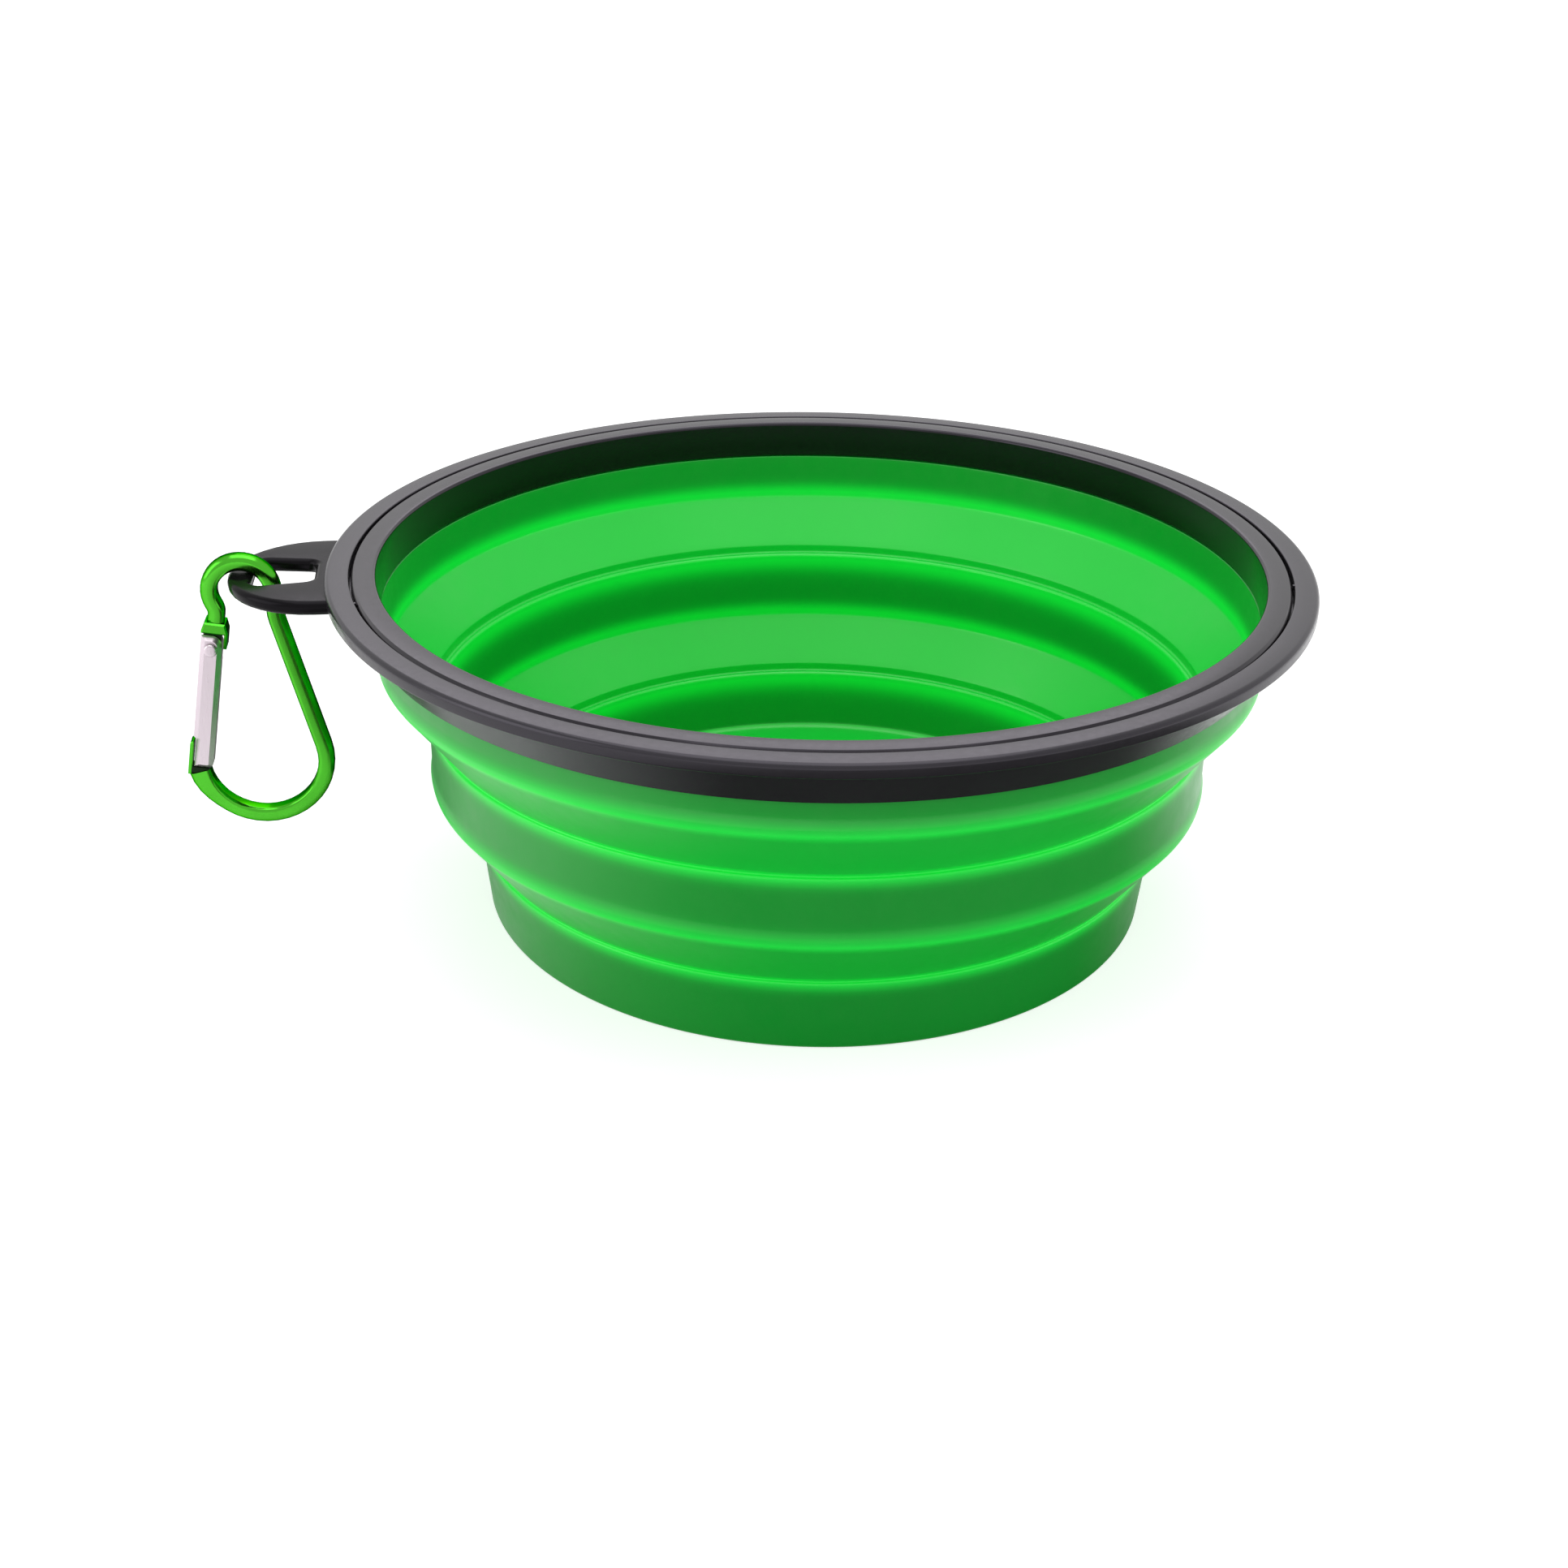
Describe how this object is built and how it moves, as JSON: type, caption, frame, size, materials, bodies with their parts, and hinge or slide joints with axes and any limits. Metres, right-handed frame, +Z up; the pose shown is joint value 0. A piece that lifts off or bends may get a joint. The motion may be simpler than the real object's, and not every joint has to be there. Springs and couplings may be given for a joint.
{
  "type": "collapsible pet bowl",
  "caption": "Folding rubber bowl with stepped walls in a clamped plastic rim; an ear on the rim carries a spring-gate carabiner for hanging it from a bag or lead.",
  "frame": {"origin": "on the bowl's axis at the underside of the base, where the bowl stands", "axes": "+Z up along the bowl's axis, -X towards the ear and the carabiner, +Y to the back as the ear is on the left"},
  "size_m": [0.2082, 0.18, 0.07],
  "materials": {
    "bowl_rubber": "satin moulded green rubber",
    "rim_plastic": "fine-grained dark grey plastic",
    "green_metal": "glossy green anodised",
    "bright_metal": "satin, uncoloured",
    "steel": "plain wire and pin steel"
  },
  "bodies": {
    "rim": {"rim_outer_ring": "rim_plastic", "rim_clamp_ring": "rim_plastic", "upper_wall": "bowl_rubber", "upper_fold": "bowl_rubber"},
    "middle tier": {"middle_wall": "bowl_rubber", "lower_fold": "bowl_rubber"},
    "base": {"base_cup": "bowl_rubber"},
    "carabiner": {"carabiner_body": "green_metal"},
    "gate": {"carabiner_gate": "bright_metal", "gate_rivet": "bright_metal", "gate_spring": "steel"},
    "plunger": {"gate_plunger": "steel"}
  },
  "joints": [
    {"name": "upper_fold_slide", "type": "slide", "parent": "rim", "child": "middle tier", "axis": [0, 0, 1], "range_m": [0, 0.0236], "deforming": ["upper_fold"]},
    {"name": "lower_fold_slide", "type": "slide", "parent": "middle tier", "child": "base", "axis": [0, 0, 1], "range_m": [0, 0.0236], "deforming": ["lower_fold"]},
    {"name": "carabiner_swing", "type": "hinge", "parent": "rim", "child": "carabiner", "pos_m": [-0.1051, 0, 0.0627], "axis": [0, 1, 0], "range_deg": [-25, 120]},
    {"name": "gate_hinge", "type": "hinge", "parent": "carabiner", "child": "gate", "pos_m": [-0.11135, 0, 0.05216], "axis": [0, -1, 0], "range_deg": [0, 28], "stiffness_Nm_per_rad": 0.02, "springref_deg": -17.19},
    {"name": "plunger_slide", "type": "slide", "parent": "gate", "child": "plunger", "axis": [-0.1705, 0, -0.9854], "range_m": [0, 0.0004], "stiffness_N_per_m": 5, "springref_m": -0.002, "deforming": ["gate_spring"]}
  ]
}
